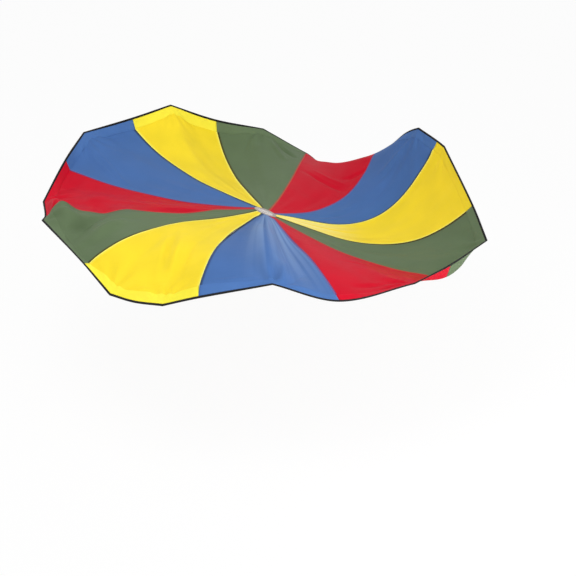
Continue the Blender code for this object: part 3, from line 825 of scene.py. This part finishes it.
def tape_finish(name, colour, rib, row):
    """A woven tape: fine ribs across it and a row of thread along it."""
    made, wire, shader = new_finish(name)
    cut, along, across = cut_places(wire)
    ribs = along.wave(rib) * 0.7 + across.wave(rib * 0.8) * 0.3
    off = across.maths("ABSOLUTE", across.maths("ABSOLUTE", across) - row)
    stitch = (1 - off.between(*THREAD_EDGE)) * along.wave(TAPE_STITCH_PITCH).between(-0.5, 0.0)
    worn = cut.noise(0.08, 4.0)
    body = worn.between(0.35, 0.7).mix(shaded(colour, 0.85), shaded(colour, 1.25))
    wire.feed(shader, "Base Color", (stitch * 0.7).mix(body, shaded(colour, 2.2)))
    wire.feed(shader, "Roughness", 0.62 + worn * 0.15)
    wire.feed(shader, "Normal", (ribs + stitch * 2.0).bump(0.0003, 0.5))
    shader.inputs["Specular IOR Level"].default_value = 0.2
    return made


bottom = -CLOTH_THICKNESS / 2 - TAPE_CLOTH_GAP
top = HEM_LIFT + CLOTH_THICKNESS + TAPE_CLOTH_GAP
turned = np.linspace(1, -1, TAPE_SIDES) * TAPE_WRAP
sections = np.concatenate(
    [
        flange_row(TAPE_FLANGE, top),
        flange_row(TAPE_FLANGE / 2, top),
        rope_circle(ROPE_RADIUS + TAPE_ROPE_GAP, turned),
        flange_row(TAPE_FLANGE / 2, bottom),
        flange_row(TAPE_FLANGE, bottom),
        flange_row(TAPE_FLANGE, bottom - TAPE_THICKNESS),
        flange_row(TAPE_FLANGE / 2, bottom - TAPE_THICKNESS),
        rope_circle(ROPE_RADIUS + TAPE_ROPE_GAP + TAPE_THICKNESS, turned[::-1]),
        flange_row(TAPE_FLANGE / 2, top + TAPE_THICKNESS),
        flange_row(TAPE_FLANGE, top + TAPE_THICKNESS),
    ],
    1,
)
arc = turned * (ROPE_RADIUS + TAPE_THICKNESS)
side = np.array([arc[0] + TAPE_FLANGE, arc[0] + TAPE_FLANGE / 2])
profile_cut = np.concatenate([side, arc, -side[::-1], -side, arc[::-1], side[::-1]])
cut = np.stack(np.broadcast_arrays(round_hem[:, None], profile_cut[None, :]), -1)
black_tape = tape_finish("black_tape", linear(0.045, 0.045, 0.050), TAPE_RIB, TAPE_STITCH_OFF)
tape = band("edge_binding", sections, cut, black_tape)
facing_out(tape)
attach(tape, "root")
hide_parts("edge_tape")

# Rope. A soft cord, laid from three strands of cotton and joined into a ring, lies loose inside the tape
# and carries the pull round the hem.
ROPE_SIDES = 12
ROPE_STRANDS = 3
rope_angles = np.linspace(0, 2 * math.pi, ROPE_SIDES, endpoint=False)
rope_sections = rope_circle(ROPE_RADIUS, rope_angles)
cut = np.stack(np.broadcast_arrays(round_hem[:, None], rope_angles[None, :] * ROPE_RADIUS), -1)
rope_finish, wire, shader = new_finish("rope_cotton")
_, along, across = cut_places(wire)
lay = (along + across).wave(ROPE_RADIUS * 2 * math.pi / ROPE_STRANDS)
# Painted shade: the cord is coloured darker in the grooves between its strands
wire.feed(shader, "Base Color", lay.between(-1, 1).mix(linear(0.78, 0.76, 0.70), linear(0.93, 0.91, 0.86)))
wire.feed(shader, "Normal", lay.bump(0.0008, 0.6))
shader.inputs["Roughness"].default_value = 0.8
rope = band("edge_rope", rope_sections, cut, rope_finish)
facing_out(rope)
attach(rope, "root")
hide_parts("hem_rope")

# Vent tapes. Two flat rings of pale tape are sewn together over and under the ends of the gores and the
# edge of the net, and bind both.
VENT_TAPE_RIB = 0.0014
VENT_TAPE_LOW = 0.0008
VENT_TAPE_HIGH = 0.0019
VENT_TAPE_TRIM = (0.0003, 0, 0, 0, 0.0003)
VENT_TAPE_COLUMNS = 144
VENT_TAPE_INNER_WIDTH = 0.016
VENT_TAPE_ROWS = (
    -VENT_TAPE_INNER_WIDTH,
    -VENT_TAPE_INNER_WIDTH * 0.9,
    0,
    VENT_TAPE_OUTER_WIDTH * 0.9,
    VENT_TAPE_OUTER_WIDTH,
)
vent_turns = np.linspace(0, GORES, VENT_TAPE_COLUMNS, endpoint=False)
vent_level = Vector((-VENT_FALL_SHARES[0], -VENT_FALL_SHARES[1], 1)).normalized()
grey_tape = tape_finish("grey_tape", linear(0.67, 0.64, 0.62), VENT_TAPE_RIB, 0.0)
for name, node, low, high in (
    ("vent_binding_upper", "vent_tape_upper", VENT_TAPE_LOW, VENT_TAPE_HIGH),
    ("vent_binding_under", "vent_tape_under", -VENT_TAPE_HIGH, -VENT_TAPE_LOW),
):
    rows = []
    for distance in VENT_TAPE_ROWS:
        point, _, normal = cloth_frame(vent_turns, run_share(max(distance, 0)))
        if distance <= 0:
            centre = np.array(VENT_CENTRE)
            point = centre + (cloth(vent_turns, 0.0) - centre) * (1 + distance / VENT_RADIUS)
            normal = np.broadcast_to(np.array(vent_level), point.shape)
        rows.append((point, normal))
    trimmed = [(point, normal, less) for (point, normal), less in zip(rows, VENT_TAPE_TRIM)]
    uppers = [(point + normal * (high - less))[:, None] for point, normal, less in trimmed]
    lowers = [(point + normal * (low + less))[:, None] for point, normal, less in reversed(trimmed)]
    sections = np.concatenate(uppers + lowers, 1)
    half = (VENT_TAPE_INNER_WIDTH + VENT_TAPE_OUTER_WIDTH) / 2
    width = np.array([-1, -0.9, 0, 0.9, 1, 1, 0.9, 0, -0.9, -1]) * half
    around = vent_turns / GORES * 2 * math.pi * VENT_RADIUS
    cut = np.stack(np.broadcast_arrays(around[:, None], width[None, :]), -1)
    piece = band(name, sections, cut, grey_tape)
    facing_out(piece)
    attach(piece, "root")
    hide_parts(node)

# Net. A round window of knitted diamond mesh, held between the vent tapes. It lets the air out slowly, so
# the canopy comes down softly.
NET_MARGIN = 0.002
NET_PITCH = 0.0042
NET_STRAND = 0.0008
NET_SQUEEZE = 0.85
NET_SPREAD = 1.5
net_reach = VENT_RADIUS - NET_MARGIN
cells = int(2 * net_reach / NET_PITCH)
bpy.ops.object.select_all(action="DESELECT")
bpy.ops.mesh.primitive_grid_add(x_subdivisions=cells, y_subdivisions=cells, size=2 * net_reach * NET_SPREAD)
net = bpy.context.object
net.name = "vent_mesh"
bpy.ops.object.mode_set(mode="EDIT")
bpy.ops.mesh.select_all(action="SELECT")
bpy.ops.transform.rotate(value=math.radians(45), orient_axis="Z", center_override=(0, 0, 0))
bpy.ops.transform.resize(value=(NET_SQUEEZE, 1.0, 1.0), center_override=(0, 0, 0))
bpy.ops.mesh.select_all(action="DESELECT")
bpy.ops.object.mode_set(mode="OBJECT")
for face in net.data.polygons:
    face.select = face.center.length > net_reach - NET_PITCH * 0.4
bpy.ops.object.mode_set(mode="EDIT")
bpy.ops.mesh.delete(type="FACE")
bpy.ops.object.mode_set(mode="OBJECT")
strands = net.modifiers.new("strands", "WIREFRAME")
strands.thickness = NET_STRAND
bpy.ops.object.modifier_apply(modifier="strands")
turn_to_vent = vent_level.to_track_quat("Z", "Y").to_matrix().to_4x4()
net.data.transform(Matrix.Translation(VENT_CENTRE) @ turn_to_vent)
net_finish, wire, shader = new_finish("knitted_net")
spots = wire.node("ShaderNodeTexCoord", None, None, 3).noise(0.004, 2.0)
wire.feed(shader, "Base Color", spots.mix(linear(0.61, 0.58, 0.57), linear(0.77, 0.74, 0.73)))
wire.feed(shader, "Roughness", 0.55 + spots * 0.2)
wire.feed(shader, "Normal", spots.bump(0.0002, 0.4))
net.data.materials.append(net_finish)
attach(net, "root")
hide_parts("vent_net")

# Cloth facts. Each gore is a wedge 0.96 m wide at the hem and 1.75 m long, and its hem and one seam lie
# on it.
gore_length = CANOPY_RADIUS - VENT_RADIUS
wide, narrow = gore_span(1.0), gore_span(0.0)
area = (wide + narrow) / 2 * gore_length
